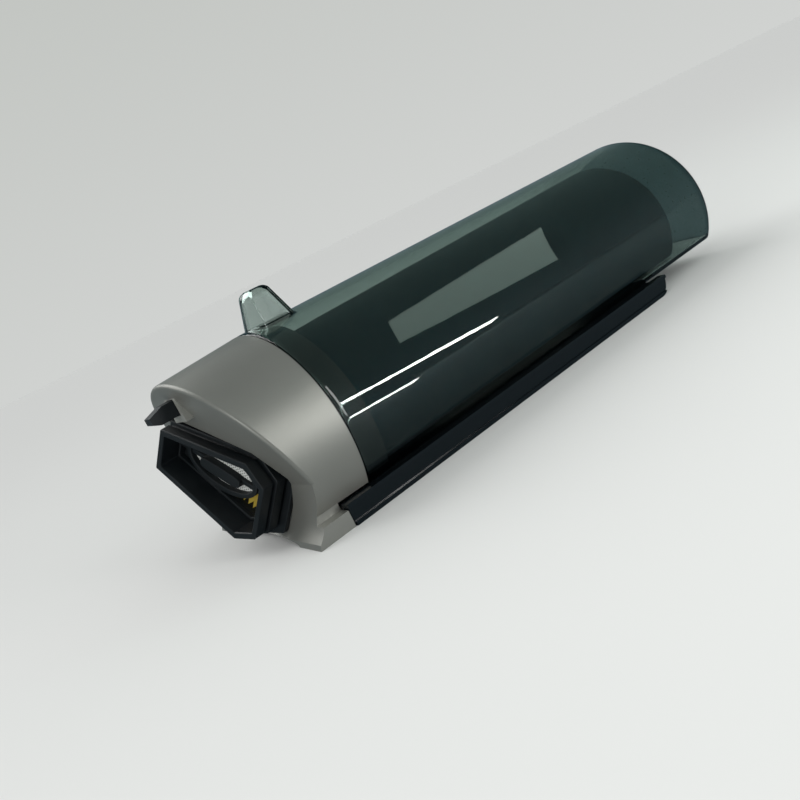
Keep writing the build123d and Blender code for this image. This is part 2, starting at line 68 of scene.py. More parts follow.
def d_ring(x, less, flat_z):
    """Loop of points of the tank's section at x: an ellipse cut flat, with small rounded corners."""
    half_width = TANK_HALF_WIDTH - less
    half_height = TANK_HALF_HEIGHT - less
    start = math.asin((flat_z - TANK_AXIS_Z) / half_height)
    shift = CORNER_REACH / half_width
    edge_y = half_width * math.cos(start)
    points = []
    for i in range(ARC_STEPS + 1):
        angle = start + shift + (math.pi - 2 * start - 2 * shift) * i / ARC_STEPS
        points.append((half_width * math.cos(angle), TANK_AXIS_Z + half_height * math.sin(angle)))
    first = points[0]
    last = points[-1]
    left = (-edge_y + CORNER_REACH, flat_z)
    right = (edge_y - CORNER_REACH, flat_z)
    for begin, corner, finish in ((last, (-edge_y, flat_z), left), (right, (edge_y, flat_z), first)):
        if begin is right:
            for i in range(1, FLAT_STEPS):
                points.append((left[0] + (right[0] - left[0]) * i / FLAT_STEPS, flat_z))
            points.append(right)
        for i in range(1, CORNER_STEPS + (1 if finish is left else 0)):
            t = i / CORNER_STEPS
            points.append(tuple((1 - t) ** 2 * a + 2 * t * (1 - t) * b + t * t * c
                                for a, b, c in zip(begin, corner, finish)))
    return [Vector((JOINT_X + x, y, z)) for y, z in points]


def round_ring(x, radius, like):
    """Loop of a circle round the inlet's axis, with its points in line with those of another loop."""
    points = []
    for point in like:
        angle = math.atan2(point.z - INLET_Z, point.y)
        points.append(Vector((JOINT_X + x, radius * math.cos(angle), INLET_Z + radius * math.sin(angle))))
    return points


def ring_mesh(name, rings, closed):
    """Mesh of quads between rings of points; a closed chain also joins the last ring to the first."""
    size = len(rings[0])
    verts = [point for ring in rings for point in ring]
    faces = []
    for row in range(len(rings) if closed else len(rings) - 1):
        here = row * size
        there = (row + 1) % len(rings) * size
        for i in range(size):
            j = (i + 1) % size
            faces.append((here + i, here + j, there + j, there + i))
    mesh = bpy.data.meshes.new(name)
    mesh.from_pydata(verts, [], faces)
    return mesh


rings = []
for step in range(RIM_STEPS + 1):
    turn = math.pi / 2 * step / RIM_STEPS
    less = RIM_ROUND * (1 - math.sin(turn))
    rings.append(d_ring(RIM_LENGTH * (1 - math.cos(turn)), less, TANK_FLAT_Z + less))
for x in TANK_STATIONS:
    rings.append(d_ring(x, TANK_SLOPE * x, TANK_FLAT_Z))
for step in range(END_STEPS + 1):
    turn = math.pi / 2 * step / END_STEPS
    x = TANK_LENGTH - TANK_END_ROUND * (1 - math.sin(turn))
    inward = TANK_END_ROUND * (1 - math.cos(turn))
    rings.append(d_ring(x, TANK_SLOPE * x + inward, TANK_FLAT_Z + inward))
outer_end = rings[-1]
inner_end_x = TANK_LENGTH - TANK_END_WALL
inner_end = d_ring(inner_end_x, TANK_WALL + TANK_SLOPE * inner_end_x, TANK_FLAT_Z + TANK_WALL)
for x, radius in ((TANK_LENGTH, SEAT_RADIUS), (TANK_LENGTH - SEAT_DEPTH, SEAT_RADIUS),
                  (TANK_LENGTH - SEAT_DEPTH, INLET_RADIUS), (inner_end_x, INLET_RADIUS)):
    rings.append(round_ring(x, radius, outer_end))
rings.append(inner_end)
for x in (*reversed(TANK_STATIONS[:3]), 0.0):
    rings.append(d_ring(x, TANK_WALL + TANK_SLOPE * x, TANK_FLAT_Z + TANK_WALL))
mesh = ring_mesh("tank_moulding", rings, True)
for polygon in mesh.polygons:
    polygon.use_smooth = True
mesh.set_sharp_from_angle(angle=SHARP_ANGLE)
tank = bpy.data.objects.new("tank_moulding", mesh)
bpy.context.collection.objects.link(tank)


def linear(code):
    """sRGB hex code as linear red, green, blue and alpha."""
    values = [int(code[i:i + 2], 16) / 255 for i in (1, 3, 5)]
    return [v / 12.92 if v <= 0.04045 else ((v + 0.055) / 1.055) ** 2.4 for v in values] + [1.0]


def add(tree, kind, inputs=None, **settings):
    """Adds a node; an input is a constant, or the output socket that it is linked from."""
    item = tree.nodes.new(kind)
    for name, value in settings.items():
        setattr(item, name, value)
    for name, value in (inputs or {}).items():
        if isinstance(value, bpy.types.NodeSocket):
            tree.links.new(value, item.inputs[name])
        else:
            item.inputs[name].default_value = value
    return item


# Smoked plastic: grey-green where two walls are seen against white, nearly black over dark pieces,
# and darker still along edges, where the light goes a long way through it. Faint handling scuffs.
smoked = bpy.data.materials.new("smoked_clear_plastic")
smoked.use_nodes = True
tree = smoked.node_tree
shader = tree.nodes["Principled BSDF"]
shader.inputs["Base Color"].default_value = linear("#f4f7f6")
shader.inputs["IOR"].default_value = 1.53
shader.inputs["Transmission Weight"].default_value = 1.0
place = add(tree, "ShaderNodeTexCoord")
along = add(tree, "ShaderNodeMapping", {"Vector": place.outputs["Object"], "Scale": (60, 900, 900)})
scuffs = add(tree, "ShaderNodeTexNoise", {"Vector": along.outputs["Vector"], "Scale": 1.0, "Detail": 4.0})
rough = add(tree, "ShaderNodeMapRange", {"Value": scuffs.outputs["Fac"], "From Min": 0.45, "From Max": 0.8,
                                         "To Min": 0.004, "To Max": 0.03})
tree.links.new(rough.outputs["Result"], shader.inputs["Roughness"])
bump = add(tree, "ShaderNodeBump", {"Height": scuffs.outputs["Fac"], "Strength": 0.04, "Distance": 0.00004})
tree.links.new(bump.outputs["Normal"], shader.inputs["Normal"])
tint = add(tree, "ShaderNodeVolumeAbsorption", {"Color": (0.06, 0.24, 0.18, 1), "Density": 230.0})
tree.links.new(tint.outputs["Volume"], tree.nodes["Material Output"].inputs["Volume"])
mesh.materials.append(smoked)
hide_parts("tank_shell")
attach(tank, "tank")

# Closed end: the same plastic, frosted in the mould and of a deeper tint, so that the tank's end looks
# like an even dark teal with a dark line where the clear side wall runs out into it.
frosted = bpy.data.materials.new("frosted_smoked_plastic")
frosted.use_nodes = True
tree = frosted.node_tree
shader = tree.nodes["Principled BSDF"]
shader.inputs["Base Color"].default_value = linear("#44595c")
shader.inputs["IOR"].default_value = 1.53
shader.inputs["Transmission Weight"].default_value = 1.0
place = add(tree, "ShaderNodeTexCoord")
frost = add(tree, "ShaderNodeTexNoise", {"Vector": place.outputs["Object"], "Scale": 700.0, "Detail": 4.0})
rough = add(tree, "ShaderNodeMapRange", {"Value": frost.outputs["Fac"], "To Min": 0.22, "To Max": 0.38})
tree.links.new(rough.outputs["Result"], shader.inputs["Roughness"])
bump = add(tree, "ShaderNodeBump", {"Height": frost.outputs["Fac"], "Strength": 0.05, "Distance": 0.00005})
tree.links.new(bump.outputs["Normal"], shader.inputs["Normal"])
mesh.materials.append(frosted)
END_SKIN = 0.0004
frost_x = JOINT_X + inner_end_x - END_SKIN
for polygon in mesh.polygons:
    polygon.material_index = 1 if polygon.center.x > frost_x else 0

# Strainer sleeve: dark sleeve inside the tank, round the riser and open to the lid's collar. It shows
# through the smoked wall as the dark core with a paler band of bare tank along the crown and the end.
SLEEVE_FRONT_INSET = 0.0085
SLEEVE_BACK_INSET = 0.0062
SLEEVE_WALL = 0.0015
SLEEVE_FRONT_X = 0.0129
SLEEVE_BACK_X = 0.214
SLEEVE_ROUND = 0.006
SLEEVE_FLAT_Z = 0.0113
SLEEVE_BORE = 0.0105
SLEEVE_SLOPE = TANK_SLOPE + (SLEEVE_BACK_INSET - SLEEVE_FRONT_INSET) / SLEEVE_BACK_X
rings = []
for x in (SLEEVE_FRONT_X, *TANK_STATIONS[1:3]):
    rings.append(d_ring(x, SLEEVE_FRONT_INSET + SLEEVE_SLOPE * x, SLEEVE_FLAT_Z))
for step in range(END_STEPS + 1):
    turn = math.pi / 2 * step / END_STEPS
    x = SLEEVE_BACK_X - SLEEVE_ROUND * (1 - math.sin(turn))
    inward = SLEEVE_ROUND * (1 - math.cos(turn))
    rings.append(d_ring(x, SLEEVE_FRONT_INSET + SLEEVE_SLOPE * x + inward, SLEEVE_FLAT_Z + inward))
for x in (SLEEVE_BACK_X, SLEEVE_BACK_X - SLEEVE_WALL):
    rings.append(round_ring(x, SLEEVE_BORE, rings[-1]))
for x in (SLEEVE_BACK_X - SLEEVE_WALL, *reversed(TANK_STATIONS[1:3]), SLEEVE_FRONT_X):
    rings.append(d_ring(x, SLEEVE_FRONT_INSET + SLEEVE_WALL + SLEEVE_SLOPE * x, SLEEVE_FLAT_Z + SLEEVE_WALL))
mesh = ring_mesh("strainer_sleeve", rings, True)
for polygon in mesh.polygons:
    polygon.use_smooth = True
mesh.set_sharp_from_angle(angle=SHARP_ANGLE)
sleeve = bpy.data.objects.new("strainer_sleeve", mesh)
bpy.context.collection.objects.link(sleeve)

# Matt polypropylene: a dark teal without shine, so that only its colour comes through the tank's wall.
# A fine spark-eroded texture of about 0.4 mm, a little cloudy from dried water.
matt = bpy.data.materials.new("matt_teal_polypropylene")
matt.use_nodes = True
tree = matt.node_tree
shader = tree.nodes["Principled BSDF"]
shader.inputs["IOR"].default_value = 1.49
shader.inputs["Specular IOR Level"].default_value = 0.08
place = add(tree, "ShaderNodeTexCoord")
grain = add(tree, "ShaderNodeTexNoise", {"Vector": place.outputs["Object"], "Scale": 2500.0, "Detail": 2.0})
cloud = add(tree, "ShaderNodeTexNoise", {"Vector": place.outputs["Object"], "Scale": 35.0, "Detail": 3.0})
shade = add(tree, "ShaderNodeMix", {"Factor": cloud.outputs["Fac"]}, data_type="RGBA")
shade.inputs[6].default_value = linear("#122328")
shade.inputs[7].default_value = linear("#1c333a")
tree.links.new(shade.outputs[2], shader.inputs["Base Color"])
rough = add(tree, "ShaderNodeMapRange", {"Value": cloud.outputs["Fac"], "To Min": 0.7, "To Max": 0.9})
tree.links.new(rough.outputs["Result"], shader.inputs["Roughness"])
bump = add(tree, "ShaderNodeBump", {"Height": grain.outputs["Fac"], "Strength": 0.2, "Distance": 0.00006})
tree.links.new(bump.outputs["Normal"], shader.inputs["Normal"])
mesh.materials.append(matt)
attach(sleeve, "tank")

# Thumb fin: hollow wedge of the same plastic on the crown of the tank, moulded in one with it. Its
# front bows out, and its thin walls make it look paler than the tank.
FIN_ROOT_Z = 0.066
FIN_FOOT_Z = 0.0706
FIN_TOP_Z = 0.0872
FIN_ROOT = (0.0020, 0.0230, 0.0118, 0.0042)
FIN_TOP = (0.0080, 0.0184, 0.0046, 0.0014)
FIN_ROUND = 0.0022
FIN_WALL = 0.0014
FIN_CORNER = 0.0016
FIN_FRONT_STEPS = 12
FIN_SIDE_STEPS = 8
FIN_ROUND_STEPS = 7
FIN_FRONT_CORNER = 1 / 14
FIN_BACK_CORNER = 0.45


def fin_ring(z, inset):
    """Loop of the fin's section at z: a bowed front, flat sides and back, rounded corners."""
    share = (z - FIN_ROOT_Z) / (FIN_TOP_Z - FIN_ROOT_Z)
    front, back, half, bow = (a + (b - a) * share for a, b in zip(FIN_ROOT, FIN_TOP))
    front += inset
    back -= inset
    half -= inset
    outline = [(front + bow, -half)]
    for i in range(1, FIN_FRONT_STEPS):
        y = -half + 2 * half * i / FIN_FRONT_STEPS
        outline.append((front + bow * (y / half) ** 2, y))
    outline += [(front + bow, half), (back, half), (back, -half)]
    back_corners = (FIN_FRONT_STEPS + 1, FIN_FRONT_STEPS + 2)
    sharp = (0, FIN_FRONT_STEPS) + back_corners
    points = []
    for i, corner in enumerate(outline):
        if i not in sharp:
            points.append(corner)
            continue
        corner = Vector(corner)
        share = FIN_BACK_CORNER if i in back_corners else FIN_FRONT_CORNER
        reach = min(FIN_CORNER, half * share)
        before = corner + (Vector(outline[i - 1]) - corner).normalized() * reach
        after = corner + (Vector(outline[(i + 1) % len(outline)]) - corner).normalized() * reach
        for step in range(CORNER_STEPS + 1):
            t = step / CORNER_STEPS
            points.append(tuple((1 - t) ** 2 * before + 2 * t * (1 - t) * corner + t * t * after))
    return [Vector((JOINT_X + x, y, z)) for x, y in points]


fin_verts = []
fin_faces = []
for inset, top in ((0.0, FIN_TOP_Z), (FIN_WALL, FIN_TOP_Z - FIN_WALL)):
    layers = []
    foot = FIN_FOOT_Z + inset
    for step in range(FIN_SIDE_STEPS + 1):
        layers.append(fin_ring(foot + (top - FIN_ROUND - foot) * step / FIN_SIDE_STEPS, inset))
    for step in range(1, FIN_ROUND_STEPS + 1):
        turn = math.pi / 2 * step / FIN_ROUND_STEPS
        z = top - FIN_ROUND * (1 - math.sin(turn))
        layers.append(fin_ring(z, inset + FIN_ROUND * (1 - math.cos(turn))))
    base = len(fin_verts)
    size = len(layers[0])
    part = []
    for row in range(len(layers) - 1):
        for i in range(size):
            j = (i + 1) % size
            part.append((base + row * size + i, base + row * size + j,
                         base + (row + 1) * size + j, base + (row + 1) * size + i))
    part.append(tuple(base + i for i in reversed(range(size))))
    part.append(tuple(base + (len(layers) - 1) * size + i for i in range(size)))
    fin_verts += [point for ring in layers for point in ring]
    fin_faces += part if inset else [tuple(reversed(face)) for face in part]
mesh = bpy.data.meshes.new("thumb_fin")
mesh.from_pydata(fin_verts, [], fin_faces)
for polygon in mesh.polygons:
    polygon.use_smooth = True
mesh.set_sharp_from_angle(angle=math.radians(40))
fin = bpy.data.objects.new("thumb_fin", mesh)
bpy.context.collection.objects.link(fin)
mesh.materials.append(smoked)
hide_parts("tank_shell")
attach(fin, "tank")

# Back cover: glossy black ABS plate with a rail at each side, welded to the flat of the tank. The
# riser pipe inside the tank is of the same black ABS. A hard mirror gloss with faint flow marks.
gloss = bpy.data.materials.new("glossy_black_abs")
gloss.use_nodes = True
tree = gloss.node_tree
shader = tree.nodes["Principled BSDF"]
shader.inputs["Base Color"].default_value = linear("#0b1013")
shader.inputs["IOR"].default_value = 1.54
place = add(tree, "ShaderNodeTexCoord")
along = add(tree, "ShaderNodeMapping", {"Vector": place.outputs["Object"], "Scale": (80, 500, 500)})
flow = add(tree, "ShaderNodeTexNoise", {"Vector": along.outputs["Vector"], "Scale": 1.0, "Detail": 3.0})
rough = add(tree, "ShaderNodeMapRange", {"Value": flow.outputs["Fac"], "From Min": 0.3, "From Max": 0.75,
                                         "To Min": 0.06, "To Max": 0.17})
tree.links.new(rough.outputs["Result"], shader.inputs["Roughness"])
bump = add(tree, "ShaderNodeBump", {"Height": flow.outputs["Fac"], "Strength": 0.05, "Distance": 0.00005})
tree.links.new(bump.outputs["Normal"], shader.inputs["Normal"])
for name in ("back_cover", "riser_pipe"):
    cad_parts[name].data.materials[0] = gloss

# Inner mouldings: deflector, collar, float cage, duct, filter tray, grille and latch
# bolt, all of black polypropylene with a spark-eroded grain of about 0.3 mm that kills the gloss.
grained = bpy.data.materials.new("grained_black_polypropylene")
grained.use_nodes = True
tree = grained.node_tree
shader = tree.nodes["Principled BSDF"]
shader.inputs["IOR"].default_value = 1.49
place = add(tree, "ShaderNodeTexCoord")
grain = add(tree, "ShaderNodeTexNoise", {"Vector": place.outputs["Object"], "Scale": 3200.0, "Detail": 2.0})
cloud = add(tree, "ShaderNodeTexNoise", {"Vector": place.outputs["Object"], "Scale": 90.0, "Detail": 3.0})
shade = add(tree, "ShaderNodeMix", {"Factor": cloud.outputs["Fac"]}, data_type="RGBA")
shade.inputs[6].default_value = linear("#080c0f")
shade.inputs[7].default_value = linear("#0f1518")
tree.links.new(shade.outputs[2], shader.inputs["Base Color"])
rough = add(tree, "ShaderNodeMapRange", {"Value": cloud.outputs["Fac"], "From Min": 0.3, "From Max": 0.7,
                                         "To Min": 0.42, "To Max": 0.58})
tree.links.new(rough.outputs["Result"], shader.inputs["Roughness"])
bump = add(tree, "ShaderNodeBump", {"Height": grain.outputs["Fac"], "Strength": 0.25, "Distance": 0.00006})
tree.links.new(bump.outputs["Normal"], shader.inputs["Normal"])
for name in ("riser_deflector", "lid_collar", "float_cage", "port_duct", "filter_tray", "latch_bolt"):
    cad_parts[name].data.materials[0] = grained

# Filter grille: black moulding at the front of the cassette, parallel to the slanting mouth. A skirt runs
# back to the tray, an oval ring sits on spokes, and a plate across the ring is there to pull it out by.
PORT_CENTRE = Vector((-0.0375, -0.0037, 0.0285))
PORT_ALONG = Vector((0.1337, -0.8122, -0.5678))
PORT_ACROSS = Vector((0.3978, -0.4808, 0.7814))
PORT_OUTLINE = ((-0.0346, -0.0086), (0.0121, -0.0157), (0.0224, -0.0104),
                (0.0224, 0.0104), (0.0121, 0.0157), (-0.0346, 0.0086))
GRILLE_RECESS = 0.0075
GRILLE_THICKNESS = 0.0018
GRILLE_INSET = 0.0029
GRILLE_RIM = 0.0010
SKIRT_WALL = 0.0009
TRAY_RECESS = 0.0115
RING_CENTRE = Vector((-0.0066, 0.0006))
RING_HALF_LENGTH = 0.0195
RING_HALF_HEIGHT = 0.0085
RING_BAR = 0.0020
RING_PROUD = 0.0006
OVAL_STEPS = 64
PLATE_HALF_LENGTH = 0.0110
PLATE_HALF_HEIGHT = 0.0022
PLATE_RISE = 0.0012
PLATE_DROP = 0.0014
SPOKE_HALF = 0.0009
SPOKE_SINK = 0.0002
SPOKE_ENDS = ((-0.0305, -0.0248), (0.0118, 0.0185), (-0.0251, -0.0166), (0.0034, 0.0122))
CROSS_AT = -0.0066
CROSS_ENDS = (0.0076, 0.0106)
BLANK_FROM = -0.0300
BLANK_TO = -0.0120
BLANK_HALF = (0.0062, 0.0092)
BLANK_GAP = 0.0002
BLANK_THICKNESS = 0.0008


def inset_outline(distance):
    """The mouth's six corners, moved inward by distance from each edge."""
    moved = []
    count = len(PORT_OUTLINE)
    for i in range(count):
        before, here, after = (Vector(PORT_OUTLINE[(i + k) % count]) for k in (-1, 0, 1))
        first = (here - before).normalized()
        second = (after - here).normalized()
        bisector = Vector((-first.y - second.y, first.x + second.x)).normalized()
        moved.append(here + bisector * (distance / bisector.dot(Vector((-first.y, first.x)))))
    return moved


def oval(half_length, half_height, power):
    """Points of an oval about the ring's centre; a higher power makes its ends squarer."""
    points = []
    for i in range(OVAL_STEPS):
        turn = 2 * math.pi * i / OVAL_STEPS
        c, n = math.cos(turn), math.sin(turn)
        points.append(RING_CENTRE + Vector((half_length * math.copysign(abs(c) ** power, c),
                                            half_height * math.copysign(abs(n) ** power, n))))
    return points


def port_point(recess, flat):
    """Point of the mouth's plane as a point of the frame, at a recess behind the mouth."""
    return PORT_CENTRE + PORT_ALONG * flat.x + PORT_ACROSS * flat.y + Vector((JOINT_X + recess, 0, 0))


def port_loop(verts, faces, outer, inner, front, back):
    """Adds a bar that runs round between two loops of equal length, or a plate if inner is None."""
    base = len(verts)
    size = len(outer)
    loops = [(front, outer), (back, outer)]
    if inner is not None:
        loops += [(back, inner), (front, inner)]
    for recess, loop in loops:
        verts.extend(port_point(recess, point) for point in loop)
    for row in range(len(loops) if inner is not None else 1):
        here = base + row * size
        there = base + (row + 1) % len(loops) * size
        for i in range(size):
            j = (i + 1) % size
            faces.append((here + i, here + j, there + j, there + i))
    if inner is None:
        faces.append(tuple(base + i for i in reversed(range(size))))
        faces.append(tuple(base + size + i for i in range(size)))


verts = []
faces = []
grille_front = GRILLE_RECESS
grille_back = GRILLE_RECESS + GRILLE_THICKNESS
edge = inset_outline(GRILLE_INSET)
port_loop(verts, faces, edge, inset_outline(GRILLE_INSET + GRILLE_RIM), grille_front, grille_back)
port_loop(verts, faces, edge, inset_outline(GRILLE_INSET + SKIRT_WALL), grille_back, TRAY_RECESS)
port_loop(verts, faces, oval(RING_HALF_LENGTH, RING_HALF_HEIGHT, 1),
          oval(RING_HALF_LENGTH - RING_BAR, RING_HALF_HEIGHT - RING_BAR, 1),
          grille_front - RING_PROUD, grille_back)
plate = [point - Vector((0, PLATE_DROP)) for point in oval(PLATE_HALF_LENGTH, PLATE_HALF_HEIGHT, 0.5)]
port_loop(verts, faces, plate, None, grille_front - PLATE_RISE, grille_back)
bars = [((low, -SPOKE_HALF), (high, SPOKE_HALF)) for low, high in SPOKE_ENDS]
for low, high in (CROSS_ENDS, (-CROSS_ENDS[1], -CROSS_ENDS[0])):
    bars.append(((CROSS_AT - SPOKE_HALF, low), (CROSS_AT + SPOKE_HALF, high)))
for low, high in bars:
    corners = [Vector(low), Vector((high[0], low[1])), Vector(high), Vector((low[0], high[1]))]
    port_loop(verts, faces, corners, None, grille_front + SPOKE_SINK, grille_back - SPOKE_SINK)
blank = [Vector((BLANK_FROM, -BLANK_HALF[0])), Vector((BLANK_TO, -BLANK_HALF[1])),
         Vector((BLANK_TO, BLANK_HALF[1])), Vector((BLANK_FROM, BLANK_HALF[0]))]
port_loop(verts, faces, blank, None, grille_back + BLANK_GAP, grille_back + BLANK_GAP + BLANK_THICKNESS)
mesh = bpy.data.meshes.new("cassette_grille")
mesh.from_pydata(verts, [], faces)
grille = bpy.data.objects.new("cassette_grille", mesh)
bpy.context.collection.objects.link(grille)
mesh.materials.append(grained)
soft = grille.modifiers.new("soft_edges", "BEVEL")
soft.width = 0.00025
soft.segments = 2
soft.limit_method = "ANGLE"
soft.angle_limit = math.radians(40)
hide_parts("filter_grille")
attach(grille, "filter")

# Lid: ABS moulding sprayed with satin silver-grey paint. A warm mid grey with a wide soft highlight
# and, close up, flakes of about 0.1 mm that glint apart from one another.
paint = bpy.data.materials.new("silver_spray_paint")
paint.use_nodes = True
tree = paint.node_tree
shader = tree.nodes["Principled BSDF"]
shader.inputs["Metallic"].default_value = 0.55
place = add(tree, "ShaderNodeTexCoord")
flakes = add(tree, "ShaderNodeTexVoronoi", {"Vector": place.outputs["Object"], "Scale": 9000.0})
mist = add(tree, "ShaderNodeTexNoise", {"Vector": place.outputs["Object"], "Scale": 45.0, "Detail": 3.0})
shade = add(tree, "ShaderNodeMix", {"Factor": mist.outputs["Fac"]}, data_type="RGBA")
shade.inputs[6].default_value = linear("#85857f")
shade.inputs[7].default_value = linear("#91918b")
tree.links.new(shade.outputs[2], shader.inputs["Base Color"])
rough = add(tree, "ShaderNodeMapRange", {"Value": flakes.outputs["Distance"], "From Max": 0.8,
                                         "To Min": 0.36, "To Max": 0.44})
tree.links.new(rough.outputs["Result"], shader.inputs["Roughness"])
bump = add(tree, "ShaderNodeBump", {"Height": flakes.outputs["Distance"], "Strength": 0.06,
                                    "Distance": 0.00002})
tree.links.new(bump.outputs["Normal"], shader.inputs["Normal"])
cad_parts["lid_shell"].data.materials[0] = paint

# Outlet boot and seals: black EPDM rubber, pressed in place. Satin, a little blue in the light, with
# a fine moulded tooth and rounded edges on the boot.
rubber = bpy.data.materials.new("black_epdm_rubber")
rubber.use_nodes = True
tree = rubber.node_tree
shader = tree.nodes["Principled BSDF"]
shader.inputs["IOR"].default_value = 1.5
place = add(tree, "ShaderNodeTexCoord")
tooth = add(tree, "ShaderNodeTexNoise", {"Vector": place.outputs["Object"], "Scale": 2400.0, "Detail": 3.0})
bloom = add(tree, "ShaderNodeTexNoise", {"Vector": place.outputs["Object"], "Scale": 140.0, "Detail": 3.0})
shade = add(tree, "ShaderNodeMix", {"Factor": bloom.outputs["Fac"]}, data_type="RGBA")
shade.inputs[6].default_value = linear("#070b0e")
shade.inputs[7].default_value = linear("#0d1317")
tree.links.new(shade.outputs[2], shader.inputs["Base Color"])
rough = add(tree, "ShaderNodeMapRange", {"Value": bloom.outputs["Fac"], "From Min": 0.3, "From Max": 0.7,
                                         "To Min": 0.38, "To Max": 0.52})
tree.links.new(rough.outputs["Result"], shader.inputs["Roughness"])
bump = add(tree, "ShaderNodeBump", {"Height": tooth.outputs["Fac"], "Strength": 0.12, "Distance": 0.00005})
tree.links.new(bump.outputs["Normal"], shader.inputs["Normal"])
for name in ("port_boot", "lid_seal", "inlet_seal", "filter_seal"):
    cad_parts[name].data.materials[0] = rubber
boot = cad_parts["port_boot"]
weld = boot.modifiers.new("weld", "WELD")
weld.merge_threshold = 0.00001
soft = boot.modifiers.new("soft_edges", "BEVEL")
soft.width = 0.0005
soft.segments = 3
soft.limit_method = "ANGLE"
soft.angle_limit = math.radians(25)
soft.harden_normals = True

# Filter mesh: woven grey-white nylon behind the grille, heat-welded to the tray. Threads of 0.25 mm
# at a pitch of 0.5 mm, with dark between them.
nylon = bpy.data.materials.new("woven_nylon_mesh")
nylon.use_nodes = True
tree = nylon.node_tree
shader = tree.nodes["Principled BSDF"]
shader.inputs["IOR"].default_value = 1.53
place = add(tree, "ShaderNodeTexCoord")
warp = add(tree, "ShaderNodeTexWave", {"Vector": place.outputs["Object"], "Scale": 320.0, "Distortion": 0.3},
           bands_direction="Y")
weft = add(tree, "ShaderNodeTexWave", {"Vector": place.outputs["Object"], "Scale": 320.0, "Distortion": 0.3},
           bands_direction="Z")
weave = add(tree, "ShaderNodeMath", {0: warp.outputs["Fac"], 1: weft.outputs["Fac"]}, operation="MAXIMUM")
shade = add(tree, "ShaderNodeMix", {"Factor": weave.outputs["Value"]}, data_type="RGBA")
shade.inputs[6].default_value = linear("#4c4f4f")
shade.inputs[7].default_value = linear("#d2d4d0")
tree.links.new(shade.outputs[2], shader.inputs["Base Color"])
rough = add(tree, "ShaderNodeMapRange", {"Value": weave.outputs["Value"], "To Min": 0.8, "To Max": 0.5})
tree.links.new(rough.outputs["Result"], shader.inputs["Roughness"])
bump = add(tree, "ShaderNodeBump", {"Height": weave.outputs["Value"], "Strength": 0.6, "Distance": 0.0001})
tree.links.new(bump.outputs["Normal"], shader.inputs["Normal"])
verts = []
faces = []
MESH_THICKNESS = 0.0004
MESH_INSET = 0.0005
port_loop(verts, faces, oval(RING_HALF_LENGTH - MESH_INSET, RING_HALF_HEIGHT - MESH_INSET, 1), None,
          grille_back - MESH_THICKNESS, grille_back)
mesh = bpy.data.meshes.new("cassette_mesh")
mesh.from_pydata(verts, [], faces)
screen = bpy.data.objects.new("cassette_mesh", mesh)
bpy.context.collection.objects.link(screen)
mesh.materials.append(nylon)
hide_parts("filter_mesh")
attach(screen, "filter")

# Filter pleats: yellow resin-treated paper, folded and glued into the tray. Matt, with fibres and
# slightly darker blotches where the resin is thick.
paper = bpy.data.materials.new("yellow_filter_paper")
paper.use_nodes = True
tree = paper.node_tree
shader = tree.nodes["Principled BSDF"]
shader.inputs["IOR"].default_value = 1.5
place = add(tree, "ShaderNodeTexCoord")
fibre = add(tree, "ShaderNodeTexNoise", {"Vector": place.outputs["Object"], "Scale": 1800.0, "Detail": 6.0,
                                         "Distortion": 1.2})
blotch = add(tree, "ShaderNodeTexNoise", {"Vector": place.outputs["Object"], "Scale": 180.0, "Detail": 2.0})
shade = add(tree, "ShaderNodeMix", {"Factor": blotch.outputs["Fac"]}, data_type="RGBA")
shade.inputs[6].default_value = linear("#d9b93c")
shade.inputs[7].default_value = linear("#f0dc70")
tree.links.new(shade.outputs[2], shader.inputs["Base Color"])
rough = add(tree, "ShaderNodeMapRange", {"Value": fibre.outputs["Fac"], "To Min": 0.75, "To Max": 0.95})
tree.links.new(rough.outputs["Result"], shader.inputs["Roughness"])
bump = add(tree, "ShaderNodeBump", {"Height": fibre.outputs["Fac"], "Strength": 0.4, "Distance": 0.00008})
tree.links.new(bump.outputs["Normal"], shader.inputs["Normal"])
PLEAT_PITCH = 0.0026
PLEAT_HEIGHT = 0.0060
PLEAT_PAPER = 0.0009
PLEAT_INSET = 0.0045
PLEAT_GAP = 0.0012
narrow, wide, end = (Vector(PORT_OUTLINE[i]) for i in (5, 4, 3))
folds = []
for i in range(int((end.x - narrow.x - 2 * PLEAT_INSET) / PLEAT_PITCH * 2) + 1):
    at = narrow.x + PLEAT_INSET + PLEAT_PITCH / 2 * i
    first, last = (narrow, wide) if at < wide.x else (wide, end)
    half = first.y + (last.y - first.y) * (at - first.x) / (last.x - first.x) - PLEAT_INSET
    folds.append((at, half, grille_back + PLEAT_GAP + (PLEAT_HEIGHT if i % 2 else 0)))
verts = []
for at, half, recess in folds:
    for depth in (recess, recess + PLEAT_PAPER):
        verts += [port_point(depth, Vector((at, -half))), port_point(depth, Vector((at, half)))]
faces = []
for i in range(len(folds) - 1):
    here = 4 * i
    for a, b in ((0, 1), (1, 3), (3, 2), (2, 0)):
        faces.append((here + a, here + b, here + 4 + b, here + 4 + a))
faces += [(2, 3, 1, 0), tuple(len(verts) - 4 + i for i in (0, 1, 3, 2))]
mesh = bpy.data.meshes.new("cassette_pleats")
mesh.from_pydata(verts, [], faces)
pleats = bpy.data.objects.new("cassette_pleats", mesh)
bpy.context.collection.objects.link(pleats)
mesh.materials.append(paper)
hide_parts("filter_pleats")
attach(pleats, "filter")

